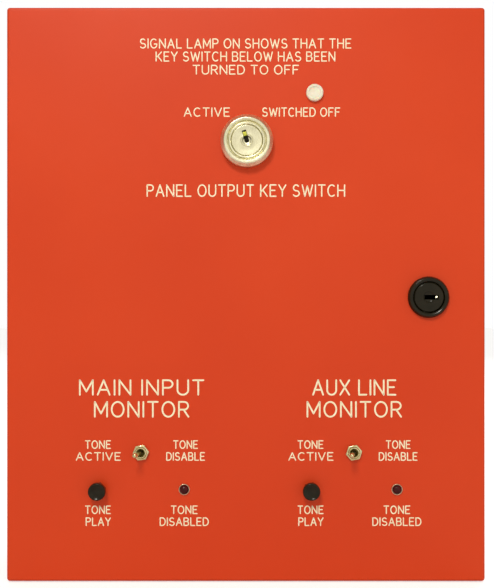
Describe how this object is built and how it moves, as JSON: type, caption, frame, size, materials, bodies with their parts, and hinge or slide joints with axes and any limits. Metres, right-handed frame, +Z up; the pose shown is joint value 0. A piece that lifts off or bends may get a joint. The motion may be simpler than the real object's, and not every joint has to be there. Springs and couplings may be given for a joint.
{
  "type": "fire alarm trouble panel",
  "caption": "Wall-mounted red steel fire alarm panel with a hinged lockable door, key switch, pilot light and paired trouble-bell controls over relays and bells.",
  "frame": {"origin": "centre of the cabinet's flat back face, on the wall", "axes": "+X right as seen from the front, +Y into the wall, +Z up; the door's outer face looks along -Y"},
  "size_m": [0.254, 0.1148, 0.3048],
  "materials": {
    "red_enamel": "smooth baked enamel with a fine orange peel",
    "zinc_plate": "zinc plated steel",
    "grey_steel": "turned and blued steel",
    "nickel": "warm nickel plating",
    "black_plastic": "semi-gloss moulding",
    "phenolic": "matt moulded phenolic",
    "relay_cover": "clear polished moulding",
    "coil_winding": "enamelled copper wire",
    "gasket_foam": "closed-cell foam",
    "white_lens": "translucent white moulding",
    "red_lens": "dark red clear lens",
    "cable_jacket": "bundled insulated wire"
  },
  "bodies": {
    "cabinet": {"cabinet_shell": "red_enamel", "hinge_bracket_top": "zinc_plate", "hinge_bracket_bottom": "zinc_plate", "hinge_pin_top": "grey_steel", "hinge_pin_bottom": "grey_steel", "mounting_plate": "zinc_plate", "plate_standoff_1": "zinc_plate", "plate_standoff_2": "zinc_plate", "plate_standoff_3": "zinc_plate", "plate_standoff_4": "zinc_plate", "conduit_bushing": "black_plastic", "terminal_block": "phenolic", "harness_cabinet": "cable_jacket", "harness_loop": "cable_jacket", "relay_base_1": "phenolic", "relay_cover_1": "relay_cover", "bell_base_1": "zinc_plate", "bell_coil_1": "coil_winding", "bell_gong_1": "nickel", "relay_base_2": "phenolic", "relay_cover_2": "relay_cover", "bell_base_2": "zinc_plate", "bell_coil_2": "coil_winding", "bell_gong_2": "nickel"},
    "door": {"door_panel": "red_enamel", "door_gasket": "gasket_foam", "harness_door": "cable_jacket", "lock_housing": "black_plastic", "lock_nut": "zinc_plate", "key_switch_housing": "nickel", "key_switch_nut": "zinc_plate", "key_switch_contact_block": "phenolic", "pilot_lens": "white_lens", "pilot_body": "black_plastic", "pilot_nut": "zinc_plate", "toggle_bushing_1": "nickel", "toggle_nut_1": "nickel", "toggle_body_1": "phenolic", "button_body_1": "black_plastic", "button_nut_1": "black_plastic", "led_holder_1": "nickel", "led_lens_1": "red_lens", "toggle_bushing_2": "nickel", "toggle_nut_2": "nickel", "toggle_body_2": "phenolic", "button_body_2": "black_plastic", "button_nut_2": "black_plastic", "led_holder_2": "nickel", "led_lens_2": "red_lens"},
    "lock_barrel": {"lock_plug": "black_plastic", "lock_cam": "zinc_plate", "lock_cam_screw": "zinc_plate"},
    "key_barrel": {"key_switch_plug": "nickel"},
    "toggle_arm_1": {"toggle_lever_1": "nickel"},
    "button_1": {"button_cap_1": "black_plastic"},
    "striker_1": {"bell_striker_1": "grey_steel"},
    "toggle_arm_2": {"toggle_lever_2": "nickel"},
    "button_2": {"button_cap_2": "black_plastic"},
    "striker_2": {"bell_striker_2": "grey_steel"}
  },
  "joints": [
    {"name": "door_hinge", "type": "hinge", "parent": "cabinet", "child": "door", "pos_m": [-0.122, -0.0966, 0], "axis": [0, 0, -1], "range_deg": [0, 120], "deforming": ["harness_loop"]},
    {"name": "lock_turn", "type": "hinge", "parent": "door", "child": "lock_barrel", "pos_m": [0.0968, -0.1016, -0.0015], "axis": [0, -1, 0], "range_deg": [0, 90]},
    {"name": "key_turn", "type": "hinge", "parent": "door", "child": "key_barrel", "pos_m": [0.0005, -0.1016, 0.081], "axis": [0, 1, 0], "range_deg": [0, 90]},
    {"name": "toggle_1_throw", "type": "hinge", "parent": "door", "child": "toggle_arm_1", "pos_m": [-0.0556, -0.1025, -0.0838], "axis": [0, 0, 1], "range_deg": [0, 22]},
    {"name": "button_1_press", "type": "slide", "parent": "door", "child": "button_1", "axis": [0, 1, 0], "range_m": [0, 0.0016], "stiffness_N_per_m": 300},
    {"name": "striker_1_swing", "type": "hinge", "parent": "cabinet", "child": "striker_1", "pos_m": [-0.069, -0.0123, -0.061], "axis": [0, -1, 0], "range_deg": [0, 6], "stiffness_Nm_per_rad": 0.01},
    {"name": "toggle_2_throw", "type": "hinge", "parent": "door", "child": "toggle_arm_2", "pos_m": [0.0572, -0.1025, -0.0838], "axis": [0, 0, 1], "range_deg": [0, 22]},
    {"name": "button_2_press", "type": "slide", "parent": "door", "child": "button_2", "axis": [0, 1, 0], "range_m": [0, 0.0016], "stiffness_N_per_m": 300},
    {"name": "striker_2_swing", "type": "hinge", "parent": "cabinet", "child": "striker_2", "pos_m": [0.041, -0.0123, -0.061], "axis": [0, -1, 0], "range_deg": [0, 6], "stiffness_Nm_per_rad": 0.01}
  ]
}
